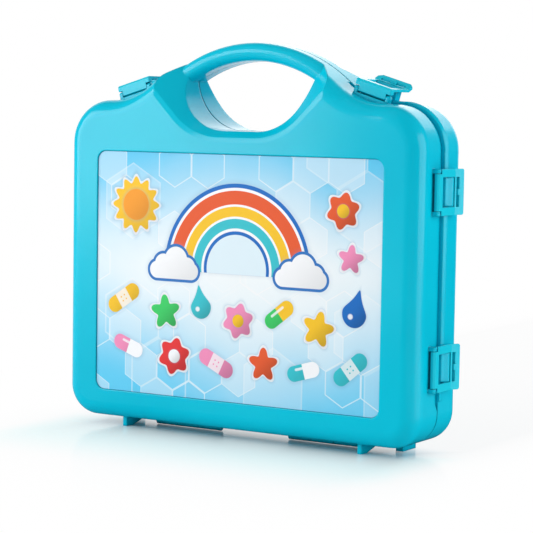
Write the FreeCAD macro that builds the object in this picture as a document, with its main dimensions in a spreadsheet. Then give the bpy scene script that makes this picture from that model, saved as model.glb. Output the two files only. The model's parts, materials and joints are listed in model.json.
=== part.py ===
"""Toy doctor case: two moulded half shells with a carrying handle, snap latches and a bottom hinge.

Millimetres.  +Z is up, the printed front faces -Y and +X is to the right seen from the front.
The origin lies on the floor under the middle of the case.
"""
import math
import os

import FreeCAD
import Part
import Sketcher

V = FreeCAD.Vector

doc = FreeCAD.newDocument("toy_doctor_case")
sheet = doc.addObject("Spreadsheet::Sheet", "sheet")

# Driving dimensions: alias, value
DIMENSIONS = [
    # shells
    ("body_width", 260.0),
    ("foot_height", 6.0),
    ("shoulder_height", 213.4),
    ("front_depth", 30.0),
    ("rear_depth", 26.0),
    ("wall", 2.6),
    ("bottom_radius", 20.0),
    ("top_radius", 28.0),
    ("shoulder_flat", 1.0),
    ("bend_share", 0.65),
    ("front_edge_radius", 10.5),
    ("rear_edge_radius", 7.0),
    # bevel inside a rounded edge that leaves about the full wall behind the round
    ("bevel_share", 0.6),
    # share of the shoulder's sweep that the cavity follows
    ("cavity_sweep", 0.65),
    ("tongue_height", 2.0),
    ("tongue_thickness", 1.2),
    ("tongue_clearance", 0.3),
    ("tongue_root", 3.0),
    ("seam_width", 0.9),
    ("seam_depth", 0.8),
    ("hole_seam_rise", 40.0),
    ("groove_width", 4.6),
    ("groove_depth", 1.5),
    ("groove_end_rise", 28.0),
    ("groove_top_angle", 30.0),
    ("funnel_height", 6.0),
    ("notch_radius", 4.6),
    ("notch_angle", 36.0),
    ("bead_width", 3.6),
    ("bead_height", 0.9),
    # handle
    ("handle_rise", 37.4),
    ("grip_height", 11.5),
    ("grip_depth", 26.0),
    ("grip_wall", 2.0),
    ("root_overlap", 9.0),
    ("hole_width", 94.0),
    ("hole_floor_width", 24.0),
    ("hole_floor_drop", 18.4),
    ("scoop_drop", 4.3),
    ("scoop_floor_width", 28.0),
    ("scoop_radius", 45.0),
    ("scoop_inner_radius", 42.5),
    ("scoop_end_depth", 8.0),
    ("scoop_angle", 45.0),
    # sideways run of the scoop's flanks for each millimetre of depth
    ("scoop_lean", 0.94),
    ("scoop_lip", 2.4),
    # label
    ("label_width", 210.4),
    ("label_height", 155.6),
    ("label_margin", 18.8),
    ("label_radius", 6.0),
    ("label_recess", 1.0),
    ("label_thickness", 0.3),
    ("label_clearance", 0.3),
    # latches
    ("side_latch_length", 28.0),
    ("top_latch_length", 25.0),
    ("upper_latch_drop", 52.1),
    ("lower_latch_rise", 48.6),
    ("top_latch_inset", 43.0),
    ("top_latch_lift", 3.9),
    ("top_latch_tilt", 16.5),
    ("top_latch_rise", 4.4),
    ("pivot_rise", 2.6),
    ("pivot_back", 12.4),
    ("barrel_radius", 1.9),
    ("plate_thickness", 1.6),
    ("skirt_edge_radius", 1.2),
    ("frame_rear", 8.6),
    ("frame_bar", 1.4),
    ("window_front", 8.9),
    ("window_length", 18.2),
    ("tab_length", 6.6),
    ("tab_angle", 28.0),
    ("side_tab_corner", 0.9),
    ("top_tab_corner", 2.4),
    ("tab_slot_width", 2.0),
    ("tab_slot_length", 18.0),
    ("tab_boss_radius", 1.9),
    ("tab_boss_along", 2.6),
    ("tab_boss_height", 0.8),
    ("lug_length", 2.6),
    ("lug_clearance", 0.3),
    ("lug_bevel", 0.2),
    ("latch_pin_radius", 0.9),
    ("running_clearance", 0.05),
    ("seat_clearance", 0.02),
    ("catch_length", 17.4),
    ("catch_radius", 1.3),
    ("catch_gap", 0.3),
    ("ramp_front", 0.4),
    ("ramp_low", 1.5),
    ("ramp_high", 2.4),
    ("side_embed", 1.0),
    ("top_embed", 4.6),
    # bottom hinge and feet
    ("hinge_height", 2.7),
    ("knuckle_radius", 2.5),
    ("knuckle_length", 16.6),
    ("knuckle_gap", 0.3),
    ("hinge_inner_end", 26.0),
    ("hinge_pin_radius", 1.25),
    ("front_foot_inset", 42.0),
    ("front_foot_width", 3.0),
    ("front_foot_reach", 21.0),
    ("front_foot_pad", 7.0),
    ("front_foot_back", 2.0),
    ("front_foot_heel", 3.0),
    ("rear_foot_inset", 27.0),
    ("rear_foot_width", 5.0),
    ("rear_foot_front", 3.0),
    ("rear_foot_reach", 20.0),
    ("seat_overlap", 1.0),
]
for row, (alias, number) in enumerate(DIMENSIONS, start=1):
    sheet.set(f"A{row}", alias)
    sheet.set(f"B{row}", str(number))
    sheet.setAlias(f"B{row}", alias)
doc.recompute()


class Size:
    """A length, ratio or angle that carries its value and the sheet expression it comes from."""

    def __init__(self, value, text):
        self.value = value
        self.text = text

    def __add__(self, other):
        other = size(other)
        return Size(self.value + other.value, f"({self.text} + {other.text})")

    def __sub__(self, other):
        other = size(other)
        return Size(self.value - other.value, f"({self.text} - {other.text})")

    def __mul__(self, other):
        other = size(other)
        return Size(self.value * other.value, f"({self.text} * {other.text})")

    def __truediv__(self, other):
        other = size(other)
        return Size(self.value / other.value, f"({self.text} / {other.text})")

    def __rsub__(self, other):
        return size(other) - self

    def __neg__(self):
        return Size(-self.value, f"(0 - {self.text})")

    __radd__ = __add__
    __rmul__ = __mul__


def size(number):
    """Wrap a plain number, or pass a Size through."""
    if isinstance(number, Size):
        return number
    return Size(float(number), f"({number})")


def sine(angle):
    return Size(math.sin(math.radians(angle.value)), f"sin({angle.text})")


def cosine(angle):
    return Size(math.cos(math.radians(angle.value)), f"cos({angle.text})")


def arctangent(ratio):
    return Size(math.degrees(math.atan(ratio.value)), f"(atan({ratio.text}) / 1 deg)")


def arcsine(ratio):
    return Size(math.degrees(math.asin(ratio.value)), f"(asin({ratio.text}) / 1 deg)")


class Dimensions:
    """The sheet's cells as Size values, one attribute for each alias."""

    def __init__(self):
        for alias, _ in DIMENSIONS:
            setattr(self, alias, Size(float(sheet.get(alias)), f"sheet.{alias}"))


d = Dimensions()
ZERO = size(0)

# Places worked out from the driving dimensions
half_width = d.body_width / 2
floor_z = d.foot_height
top_z = d.shoulder_height
peak_z = top_z + d.handle_rise
# the parting plane is local Y = 0; this shift centres the closed case on the origin
parting_shift = (d.front_depth - d.rear_depth) / 2
# shoulder and arch: two tangent arcs between two level tangents
shoulder_x = half_width - d.top_radius - d.shoulder_flat
bend_sum = (shoulder_x * shoulder_x + d.handle_rise * d.handle_rise) / (2 * d.handle_rise)
arch_radius = bend_sum * d.bend_share
sweep_radius = bend_sum - arch_radius
bend_angle = 2 * arctangent(d.handle_rise / shoulder_x)
arch_z = peak_z - arch_radius
hole_floor = top_z - d.hole_floor_drop
hole_half = d.hole_width / 2
hole_radius = hole_half - d.hole_floor_width / 2
scoop_floor = hole_floor - d.scoop_drop
scoop_half = d.scoop_floor_width / 2
# half the side of an octagon for each millimetre of its inner radius
OCTAGON = math.tan(math.radians(22.5))


def outline(right, arcs, top_arc=None):
    """Mirror the right half of a closed outline about X = 0.

    right holds the vertices from bottom to top, arcs the signed radius of the edge that
    arrives at each vertex (None for a line), top_arc that of the edge across the top.
    """
    left = [(-x, z) for x, z in reversed(right)]
    edges = arcs[1:] + [top_arc] + list(reversed(arcs[1:])) + [None]
    return right + left, edges


def shell_outline(out=ZERO):
    """Silhouette of the case, set out by a distance: flat bottom, round corners, swept shoulders."""
    side = half_width + out
    arch = arch_radius + out
    right = [
        (half_width - d.bottom_radius, floor_z - out),
        (side, floor_z + d.bottom_radius),
        (side, top_z - d.top_radius),
        (half_width - d.top_radius, top_z + out),
        (shoulder_x, top_z + out),
        (arch * sine(bend_angle), arch_z + arch * cosine(bend_angle)),
    ]
    arcs = [None, d.bottom_radius + out, None, d.top_radius + out, None, out - sweep_radius]
    return outline(right, arcs, arch)


def scoop_end(half, floor, radius):
    """Point where the scoop's round corner turns into its straight flank."""
    turn = d.scoop_angle
    return half + radius * sine(turn), floor + radius * (1 - cosine(turn))


def cavity_outline(inset):
    """Inside of a shell at a given distance from the outer skin and from the handle scoop."""
    turn = bend_angle * d.cavity_sweep
    reach = sweep_radius + inset
    scoop_x, scoop_z = scoop_end(scoop_half, scoop_floor, d.scoop_radius)
    side = sine(d.scoop_angle)
    fall = cosine(d.scoop_angle)
    flank_x = scoop_x + inset * side
    flank_z = scoop_z - inset * fall
    sweep_x = shoulder_x - reach * sine(turn)
    sweep_z = top_z + sweep_radius - reach * cosine(turn)
    # round that leaves the swept shoulder and meets the scoop's flank, tangent to both
    spare = (sweep_x - flank_x) * side - (sweep_z - flank_z) * fall
    corner = spare / (1 - cosine(turn) * fall + sine(turn) * side)
    corner_x = sweep_x - corner * sine(turn) - corner * side
    corner_z = sweep_z - corner * cosine(turn) + corner * fall
    right = [
        (half_width - d.bottom_radius, floor_z + inset),
        (half_width - inset, floor_z + d.bottom_radius),
        (half_width - inset, top_z - d.top_radius),
        (half_width - d.top_radius, top_z - inset),
        (shoulder_x, top_z - inset),
        (sweep_x, sweep_z),
        (corner_x, corner_z),
        (flank_x, flank_z),
        (scoop_half, scoop_floor - inset),
    ]
    arcs = [None, d.bottom_radius - inset, None, d.top_radius - inset, None, -reach, corner, None,
            -(d.scoop_radius + inset)]
    return outline(right, arcs)


def hole_outline():
    """Hand hole: level floor, two quarter rounds and straight flanks up past the arch."""
    right = [
        (d.hole_floor_width / 2, hole_floor),
        (hole_half, hole_floor + hole_radius),
        (hole_half, peak_z + d.grip_height),
    ]
    return outline(right, [None, hole_radius, None])


def hole_band():
    """Strip under the hand hole, from flank to flank, as deep as the seam."""
    def path(out):
        rise = hole_floor + d.hole_seam_rise
        floor_half = d.hole_floor_width / 2
        right = [(hole_half + out, rise), (hole_half + out, hole_floor + hole_radius),
                 (floor_half, hole_floor - out)]
        left = [(-x, z) for x, z in reversed(right)]
        bend = hole_radius + out
        return right + left, [None, -bend, None, -bend, None]
    outer, outer_arcs = path(d.seam_depth)
    inner, inner_arcs = path(-d.seat_overlap)
    back = [-arc if arc else None for arc in reversed(inner_arcs)]
    return outer + list(reversed(inner)), outer_arcs + [None] + back + [None]


def scoop_outline(half, floor, radius):
    """One section of the slanted hollow round the hand hole."""
    end_x, end_z = scoop_end(half, floor, radius)
    flank = d.handle_rise * 2
    right = [
        (half, floor),
        (end_x, end_z),
        (end_x + flank * cosine(d.scoop_angle), end_z + flank * sine(d.scoop_angle)),
    ]
    return outline(right, [None, radius, None])


def rounded_rectangle(half_x, low_z, high_z, radius):
    right = [
        (half_x - radius, low_z),
        (half_x, low_z + radius),
        (half_x, high_z - radius),
        (half_x - radius, high_z),
    ]
    return outline(right, [None, radius, None, radius])


def rectangle(left, right, low, high):
    return [(left, low), (right, low), (right, high), (left, high)], [None] * 4


def flank_path(offset):
    """One flank of the silhouette, set out by an offset, from above the lower corner to the handle."""
    reach = sweep_radius - offset
    turn = d.groove_top_angle
    points = [
        (half_width + offset, floor_z + d.groove_end_rise),
        (half_width + offset, top_z - d.top_radius),
        (half_width - d.top_radius, top_z + offset),
        (shoulder_x, top_z + offset),
        (shoulder_x - reach * sine(turn), top_z + sweep_radius - reach * cosine(turn)),
    ]
    return points, [None, d.top_radius + offset, None, -reach]


def flank_band(side, low, high):
    """Strip along one flank of the parting line between two offsets from the silhouette."""
    inner, inner_arcs = flank_path(low)
    outer, outer_arcs = flank_path(high)
    edges = outer_arcs + [None] + [-arc if arc else None for arc in reversed(inner_arcs)] + [None]
    points = outer + list(reversed(inner))
    if side < 0:
        points = [(-x, z) for x, z in points]
        edges = [-arc if arc else None for arc in edges]
    return points, edges


def plane_of(body, role):
    return next(item for item in body.Origin.OriginFeatures if item.Role == role)


def bind(item, prop, value):
    """Tie a property of a document object to the sheet."""
    item.setExpression(prop, size(value).text)


def arc_between(start, end, radius):
    """Minor arc from start to end; a positive radius turns left, a negative one right."""
    chord = end - start
    middle = (start + end) * 0.5
    rise = math.sqrt(max(radius * radius - chord.Length ** 2 / 4, 0.0))
    normal = V(-chord.y, chord.x, 0).normalize()
    centre = middle + normal * math.copysign(rise, radius)
    first, last = (start, end) if radius > 0 else (end, start)
    angle_a = math.atan2(first.y - centre.y, first.x - centre.x)
    angle_b = math.atan2(last.y - centre.y, last.x - centre.x)
    if angle_b < angle_a:
        angle_b += 2 * math.pi
    return Part.ArcOfCircle(Part.Circle(centre, V(0, 0, 1), abs(radius)), angle_a, angle_b)


def pin_point(sketch, geometry, vertex, x, y):
    """Fix one vertex of a sketch at sheet-driven coordinates."""
    for kind, axis, value in (("DistanceX", -2, x), ("DistanceY", -1, y)):
        if value is ZERO:
            sketch.addConstraint(Sketcher.Constraint("PointOnObject", geometry, vertex, axis))
            continue
        index = sketch.addConstraint(
            Sketcher.Constraint(kind, -1, 1, geometry, vertex, value.value))
        sketch.setExpression(f"Constraints[{index}]", value.text)


def draw_loop(sketch, points, edges):
    """Add a closed loop of lines and arcs, with every vertex and radius driven by the sheet."""
    places = [V(x.value, y.value, 0) for x, y in points]
    ends = []
    for i, radius in enumerate(edges):
        start = places[i]
        end = places[(i + 1) % len(places)]
        if radius is None:
            geometry = sketch.addGeometry(Part.LineSegment(start, end))
            ends.append((geometry, 1, 2))
            continue
        geometry = sketch.addGeometry(arc_between(start, end, radius.value))
        ends.append((geometry, 1, 2) if radius.value > 0 else (geometry, 2, 1))
        length = radius if radius.value > 0 else -radius
        index = sketch.addConstraint(Sketcher.Constraint("Radius", geometry, length.value))
        sketch.setExpression(f"Constraints[{index}]", length.text)
    for i, (geometry, first, _) in enumerate(ends):
        before, _, last = ends[i - 1]
        sketch.addConstraint(Sketcher.Constraint("Coincident", before, last, geometry, first))
        pin_point(sketch, geometry, first, *points[i])


def draw_circle(sketch, x, y, radius):
    geometry = sketch.addGeometry(
        Part.Circle(V(x.value, y.value, 0), V(0, 0, 1), radius.value))
    index = sketch.addConstraint(Sketcher.Constraint("Radius", geometry, radius.value))
    sketch.setExpression(f"Constraints[{index}]", radius.text)
    pin_point(sketch, geometry, 3, x, y)


def new_sketch(body, name, role, offset=ZERO, frame=None):
    """Sketch on one of the body's origin planes, moved along its normal or into a latch frame."""
    sketch = body.newObject("Sketcher::SketchObject", name)
    sketch.AttachmentSupport = [(plane_of(body, role), "")]
    sketch.MapMode = "FlatFace"
    if frame is None:
        bind(sketch, "AttachmentOffset.Base.z", offset)
        return sketch
    start_x = frame.x + offset * -sine(frame.angle)
    start_z = frame.z + offset * cosine(frame.angle)
    sketch.AttachmentOffset = FreeCAD.Placement(
        V(start_x.value, 0, start_z.value), FreeCAD.Rotation(V(0, -1, 0), frame.angle.value))
    bind(sketch, "AttachmentOffset.Base.x", start_x)
    bind(sketch, "AttachmentOffset.Base.z", start_z)
    bind(sketch, "AttachmentOffset.Rotation.Angle", frame.angle)
    return sketch


def new_body(label):
    body = doc.addObject("PartDesign::Body", label)
    body.Label = label
    return body


def pad(body, sketch, length, reversed_side=False, both_sides=False):
    feature = body.newObject("PartDesign::Pad", f"{sketch.Name}_pad")
    feature.Profile = sketch
    feature.Reversed = reversed_side
    if both_sides:
        feature.SideType = "Symmetric"
    bind(feature, "Length", length)
    doc.recompute()
    return feature


def pocket(body, sketch, length=None, reversed_side=False):
    """Cut a sketch to a depth, or right through both ways when no depth is given."""
    before = body.Shape.Volume
    feature = body.newObject("PartDesign::Pocket", f"{sketch.Name}_pocket")
    feature.Profile = sketch
    feature.Reversed = reversed_side
    if length is None:
        feature.Type = "ThroughAll"
        feature.SideType = "Symmetric"
    else:
        bind(feature, "Length", length)
    doc.recompute()
    if body.Shape.Volume > before - 1e-3:
        raise RuntimeError(f"{feature.Name} cuts nothing")
    return feature


def edges_at(shape, test):
    """Names of the edges whose every sample point passes a test."""
    names = []
    for number, edge in enumerate(shape.Edges, start=1):
        first, last = edge.ParameterRange
        samples = [edge.valueAt(first + (last - first) * share) for share in (0, 0.3, 0.7, 1)]
        if all(test(point) for point in samples):
            names.append(f"Edge{number}")
    return names


def round_edges(body, name, radius, test):
    base = body.Tip
    feature = body.newObject("PartDesign::Fillet", name)
    feature.Base = (base, edges_at(base.Shape, test))
    bind(feature, "Radius", radius)
    doc.recompute()
    return feature


def bevel_edges(body, name, width, test):
    base = body.Tip
    feature = body.newObject("PartDesign::Chamfer", name)
    feature.Base = (base, edges_at(base.Shape, test))
    bind(feature, "Size", width)
    doc.recompute()
    return feature


NEAR = 1e-4


class Frame:
    """Seat of one latch: a point on the parting line and the outward direction as an angle."""

    def __init__(self, name, x, z, angle, length, rise, embed, corner):
        self.name = name
        self.x = x
        self.z = z
        self.angle = angle
        self.length = length
        self.rise = rise
        self.embed = embed
        self.corner = corner


def latch_frames():
    upper = top_z - d.upper_latch_drop
    lower = floor_z + d.lower_latch_rise
    top_x = half_width - d.top_latch_inset
    lift = top_z + d.top_latch_lift
    lean = 90 - d.top_latch_tilt
    side = (d.side_latch_length, ZERO, d.side_embed, d.side_tab_corner)
    top = (d.top_latch_length, d.top_latch_rise, d.top_embed, d.top_tab_corner)
    return [
        Frame("right_upper", half_width, upper, ZERO, *side),
        Frame("right_lower", half_width, lower, ZERO, *side),
        Frame("left_upper", -half_width, upper, size(180), *side),
        Frame("left_lower", -half_width, lower, size(180), *side),
        Frame("top_right", top_x, lift, lean, *top),
        Frame("top_left", -top_x, lift, 180 - lean, *top),
    ]


FRAMES = latch_frames()


def shell_blank(label, depth, edge_radius, front):
    """Half shell up to its rim: skin, scooped handle roots, hand hole, half grip and cavity."""
    body = new_body(label)
    face = -depth.value if front else depth.value
    toward = 1 if front else -1

    sketch = new_sketch(body, f"{label}_silhouette", "XZ_Plane")
    draw_loop(sketch, *shell_outline())
    pad(body, sketch, depth, reversed_side=not front)
    sketch = new_sketch(body, f"{label}_cavity", "XZ_Plane")
    draw_loop(sketch, *cavity_outline(d.wall))
    pocket(body, sketch, depth - d.wall, reversed_side=front)
    inside = face + (d.wall.value if front else -d.wall.value)
    bevel_edges(body, f"{label}_cavity_bevel", (edge_radius - d.wall) * d.bevel_share,
                lambda point: abs(point.y - inside) < NEAR)
    round_edges(body, f"{label}_edge_round", edge_radius,
                lambda point: abs(point.y - face) < NEAR)

    # slanted hollow that leads the hand from the broad face down to the grip
    outer = new_sketch(body, f"{label}_scoop_face", "XZ_Plane", depth * toward)
    draw_loop(outer, *scoop_outline(scoop_half, scoop_floor, d.scoop_radius))
    inner = new_sketch(body, f"{label}_scoop_root", "XZ_Plane", d.scoop_end_depth * toward)
    inner_x, inner_z = scoop_end(scoop_half, scoop_floor, d.scoop_radius)
    run = depth - d.scoop_end_depth
    inner_x = inner_x - run * sine(d.scoop_angle) * d.scoop_lean
    inner_z = inner_z + run * cosine(d.scoop_angle) * d.scoop_lean
    inner_half = inner_x - d.scoop_inner_radius * sine(d.scoop_angle)
    inner_floor = inner_z - d.scoop_inner_radius * (1 - cosine(d.scoop_angle))
    draw_loop(inner, *scoop_outline(inner_half, inner_floor, d.scoop_inner_radius))
    loft = body.newObject("PartDesign::SubtractiveLoft", f"{label}_scoop")
    loft.Profile = outer
    loft.Sections = [inner]
    loft.Ruled = True
    doc.recompute()

    # bevelled lip of the hollow: it leaves the broad face and the flank at half their angle
    lip = d.scoop_lip
    dive = 2 * lip / (1 + d.scoop_lean * d.scoop_lean)
    mouth = new_sketch(body, f"{label}_lip_face", "XZ_Plane", depth * toward)
    draw_loop(mouth, *scoop_outline(scoop_half, scoop_floor - lip, d.scoop_radius + lip))
    throat = new_sketch(body, f"{label}_lip_root", "XZ_Plane", (depth - dive) * toward)
    inward = dive * d.scoop_lean * 2 + lip
    draw_loop(throat, *scoop_outline(scoop_half, scoop_floor + inward, d.scoop_radius - inward))
    loft = body.newObject("PartDesign::SubtractiveLoft", f"{label}_lip")
    loft.Profile = mouth
    loft.Sections = [throat]
    loft.Ruled = True
    doc.recompute()

    sketch = new_sketch(body, f"{label}_hand_hole", "XZ_Plane")
    draw_loop(sketch, *hole_outline())
    pocket(body, sketch, depth + d.wall, reversed_side=front)

    # half of the grip: a hollow half-round section turned about the middle of the arch
    section = new_sketch(body, f"{label}_grip_section", "YZ_Plane")
    outer_r = d.grip_height / 2
    inner_r = outer_r - d.grip_wall
    middle = peak_z - outer_r
    run = (d.grip_depth / 2 - outer_r) * -toward
    draw_grip_section(section, middle, run, outer_r, inner_r, toward)
    axis = section.addGeometry(
        Part.LineSegment(V(0, arch_z.value, 0), V(run.value, arch_z.value, 0)), True)
    pin_point(section, axis, 1, ZERO, arch_z)
    pin_point(section, axis, 2, run, arch_z)
    grip = body.newObject("PartDesign::Revolution", f"{label}_grip")
    grip.Profile = section
    grip.ReferenceAxis = (section, ["Axis0"])
    grip.Midplane = True
    bind(grip, "Angle", 2 * arcsine((hole_half + d.root_overlap) / arch_radius))
    doc.recompute()
    return body


def draw_grip_section(sketch, middle, run, outer_r, inner_r, side):
    """Half section of the grip: round outside, with a straight-walled channel inside."""
    nose = run - outer_r * side
    hollow = run - inner_r * side / 2
    loop = [
        (ZERO, middle + outer_r), (run, middle + outer_r), (nose, middle), (run, middle - outer_r),
        (ZERO, middle - outer_r), (ZERO, middle - inner_r), (hollow, middle - inner_r),
        (hollow, middle + inner_r), (ZERO, middle + inner_r),
    ]
    edges = [None, outer_r * side, outer_r * side, None, None, None, None, None, None]
    draw_loop(sketch, loop, edges)


def add_knuckle(body, name, start, length, front, bore):
    """One hinge knuckle with its web up to the shell's bottom."""
    side = -1 if front else 1
    r = d.knuckle_radius
    z = d.hinge_height
    sketch = new_sketch(body, name, "YZ_Plane", start)
    points = [
        (r * side, floor_z + d.seat_overlap), (r * side, z), (ZERO, z - r), (r * -side, z),
        (ZERO, z + r), (ZERO, floor_z + d.seat_overlap),
    ]
    turn = 1 if front else -1
    draw_loop(sketch, points, [None, r * turn, r * turn, r * turn, None, None])
    draw_circle(sketch, ZERO, z, bore)
    pad(body, sketch, length)


def hinge_starts():
    """Start of each knuckle along one hinge, from the inner end outwards."""
    return [d.hinge_inner_end + d.knuckle_length * step for step in range(3)]


def add_hinge(body, front):
    """Two hinge halves: the front carries the middle knuckle, the rear the two beside it."""
    label = body.Label
    for number, start in enumerate(hinge_starts()):
        if (number % 2 == 1) != front:
            continue
        gap = d.knuckle_gap if front else ZERO
        bore = d.hinge_pin_radius + (d.running_clearance if front else d.seat_clearance)
        length = d.knuckle_length - 2 * gap
        add_knuckle(body, f"{label}_knuckle_right_{number}", start + gap, length, front, bore)
        mirrored = -(start + d.knuckle_length - gap)
        add_knuckle(body, f"{label}_knuckle_left_{number}", mirrored, length, front, bore)


def add_foot(body, name, low_x, width, points):
    sketch = new_sketch(body, name, "YZ_Plane", low_x)
    draw_loop(sketch, points, [None] * len(points))
    pad(body, sketch, width)


def add_lugs(body, frame):
    """Two pivot lugs at the ends of one latch on the front shell, flush with its barrel."""
    half = frame.length / 2
    r = d.barrel_radius
    edge = d.skirt_edge_radius
    y = -d.pivot_back
    top = d.pivot_rise + r
    back = r * d.lug_bevel
    points = [
        (-frame.embed, y + r), (-frame.embed, y - r), (top - edge, y - r), (top, y - r + edge),
        (top, y + back), (d.pivot_rise + back, y + r),
    ]
    for end, start in (("low", -half), ("high", half - d.lug_length)):
        sketch = new_sketch(body, f"lug_{frame.name}_{end}", "XY_Plane", start, frame)
        draw_loop(sketch, points, [None] * len(points))
        draw_circle(sketch, d.pivot_rise, y, d.latch_pin_radius + d.seat_clearance)
        pad(body, sketch, d.lug_length)
    # a raised latch stands on a sill between its lugs, clear below the barrel
    if frame.rise is not ZERO:
        sketch = new_sketch(body, f"sill_{frame.name}", "XY_Plane", d.lug_length - half, frame)
        sill = d.pivot_rise - r - 2 * d.lug_clearance
        draw_loop(sketch, *rectangle(-frame.embed, sill, y - r, y + r))
        pad(body, sketch, frame.length - 2 * d.lug_length)


def add_catch(body, frame):
    """Catch of one latch on the rear shell: a ramp that leads up to a bevelled bead."""
    half = d.catch_length / 2
    r = d.catch_radius
    rear = d.frame_rear - d.frame_bar - d.catch_gap
    y = rear - r
    top = d.pivot_rise + frame.rise + d.barrel_radius - d.plate_thickness
    sketch = new_sketch(body, f"catch_{frame.name}", "XY_Plane", -half, frame)
    flat = r * OCTAGON
    points = [
        (-frame.embed, y + r), (-frame.embed, d.ramp_front), (d.ramp_low + frame.rise, d.ramp_front),
        (d.ramp_high + frame.rise, y - r), (top, y - r), (top + r, y - flat),
        (top + r, y + flat), (top, y + r),
    ]
    draw_loop(sketch, points, [None] * len(points))
    pad(body, sketch, d.catch_length)


def build_front_shell():
    body = shell_blank("front_shell", d.front_depth, d.front_edge_radius, True)

    # shallow recess that takes the printed label
    fit = d.label_clearance
    sketch = new_sketch(body, "label_recess", "XZ_Plane", d.front_depth)
    label_low = floor_z + d.label_margin
    draw_loop(sketch, *rounded_rectangle(
        d.label_width / 2 + fit, label_low - fit, label_low + d.label_height + fit,
        d.label_radius + fit))
    pocket(body, sketch, d.label_recess)

    # fine seam along the parting line, all round the silhouette and in the hand hole
    sketch = new_sketch(body, "seam", "XZ_Plane")
    draw_loop(sketch, *shell_outline(d.seat_overlap))
    draw_loop(sketch, *shell_outline(-d.seam_depth))
    pocket(body, sketch, d.seam_width, reversed_side=True)
    sketch = new_sketch(body, "hole_seam", "XZ_Plane")
    draw_loop(sketch, *hole_band())
    pocket(body, sketch, d.seam_width, reversed_side=True)

    # shadow groove along the parting line on both flanks
    for side, name in ((1, "right"), (-1, "left")):
        sketch = new_sketch(body, f"groove_{name}", "XZ_Plane")
        draw_loop(sketch, *flank_band(side, -d.groove_depth, d.seat_overlap))
        pocket(body, sketch, d.groove_width, reversed_side=True)
        # it narrows below to the seam
        sketch = new_sketch(body, f"funnel_{name}", "YZ_Plane", half_width * side)
        end = floor_z + d.groove_end_rise
        draw_loop(sketch, [(-d.groove_width, end + d.seat_overlap), (ZERO, end + d.seat_overlap),
                           (ZERO, end - d.funnel_height), (-d.seam_width, end - d.funnel_height),
                           (-d.groove_width, end)], [None] * 5)
        pocket(body, sketch, d.groove_depth, reversed_side=side < 0)
        # and ends beside the handle in a round notch
        sketch = new_sketch(body, f"notch_{name}", "XZ_Plane")
        draw_circle(sketch, (shoulder_x - sweep_radius * sine(d.notch_angle)) * side,
                    top_z + sweep_radius * (1 - cosine(d.notch_angle)), d.notch_radius)
        pocket(body, sketch, d.groove_width, reversed_side=True)

    for frame in FRAMES:
        add_lugs(body, frame)
    add_hinge(body, True)

    # gusset feet, full height at the front and rising to the rear
    reach = -d.front_foot_reach
    seat = floor_z + d.seat_overlap
    profile = [
        (reach, seat), (reach, ZERO), (reach + d.front_foot_pad, ZERO),
        (-d.front_foot_back, d.front_foot_heel), (-d.front_foot_back, seat),
    ]
    low = half_width - d.front_foot_inset - d.front_foot_width / 2
    add_foot(body, "foot_front_right", low, d.front_foot_width, profile)
    add_foot(body, "foot_front_left", -low - d.front_foot_width, d.front_foot_width, profile)
    bind(body, "Placement.Base.y", parting_shift)
    return body


def build_rear_shell():
    body = shell_blank("rear_shell", d.rear_depth, d.rear_edge_radius, False)

    # locating ribs inside the rim, on both flanks and along the bottom, that centre the front shell
    face = d.wall + d.tongue_clearance
    inside = face + d.tongue_thickness
    low_end = floor_z + d.bottom_radius
    high_end = top_z - d.top_radius
    run = half_width - d.bottom_radius
    steps = (("root", d.wall - d.tongue_clearance, d.tongue_root, True),
             ("tongue", face, d.tongue_height, False))
    for name, outside, height, reversed_side in steps:
        bars = (("right", half_width - inside, half_width - outside, low_end, high_end),
                ("left", outside - half_width, inside - half_width, low_end, high_end),
                ("bottom", -run, run, floor_z + outside, floor_z + inside))
        for place, left, right, low, high in bars:
            sketch = new_sketch(body, f"{name}_{place}", "XZ_Plane")
            draw_loop(sketch, *rectangle(left, right, low, high))
            pad(body, sketch, height, reversed_side=reversed_side)

    # raised bead along both flanks of the rim
    for side, name in ((1, "right"), (-1, "left")):
        sketch = new_sketch(body, f"bead_{name}", "XZ_Plane")
        draw_loop(sketch, *flank_band(side, -d.seat_overlap, d.bead_height))
        pad(body, sketch, d.bead_width, reversed_side=True)

    for frame in FRAMES:
        add_catch(body, frame)
    add_hinge(body, False)

    seat = floor_z + d.seat_overlap
    profile = [
        (d.rear_foot_front, seat), (d.rear_foot_front, ZERO), (d.rear_foot_reach, ZERO),
        (d.rear_foot_reach, seat),
    ]
    low = half_width - d.rear_foot_inset - d.rear_foot_width / 2
    add_foot(body, "foot_rear_right", low, d.rear_foot_width, profile)
    add_foot(body, "foot_rear_left", -low - d.rear_foot_width, d.rear_foot_width, profile)
    bind(body, "Placement.Base.y", parting_shift)
    return body


def build_label():
    """Printed sheet on the floor of the recess."""
    body = new_body("front_label")
    sketch = new_sketch(body, "label_sheet", "XZ_Plane", d.front_depth - d.label_recess)
    low = floor_z + d.label_margin
    draw_loop(sketch, *rounded_rectangle(
        d.label_width / 2, low, low + d.label_height, d.label_radius))
    pad(body, sketch, d.label_thickness)
    bind(body, "Placement.Base.y", parting_shift)
    return body


def seat_in_frame(item, frame, x, y, z):
    """Place an object modelled in a latch frame: x outward, y to the rear, z along the latch."""
    base_x = frame.x + x * cosine(frame.angle) - z * sine(frame.angle)
    base_z = frame.z + x * sine(frame.angle) + z * cosine(frame.angle)
    item.Placement = FreeCAD.Placement(
        V(base_x.value, 0, base_z.value), FreeCAD.Rotation(V(0, -1, 0), frame.angle.value))
    bind(item, "Placement.Base.x", base_x)
    bind(item, "Placement.Base.y", y + parting_shift)
    bind(item, "Placement.Base.z", base_z)
    bind(item, "Placement.Rotation.Angle", frame.angle)


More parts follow.
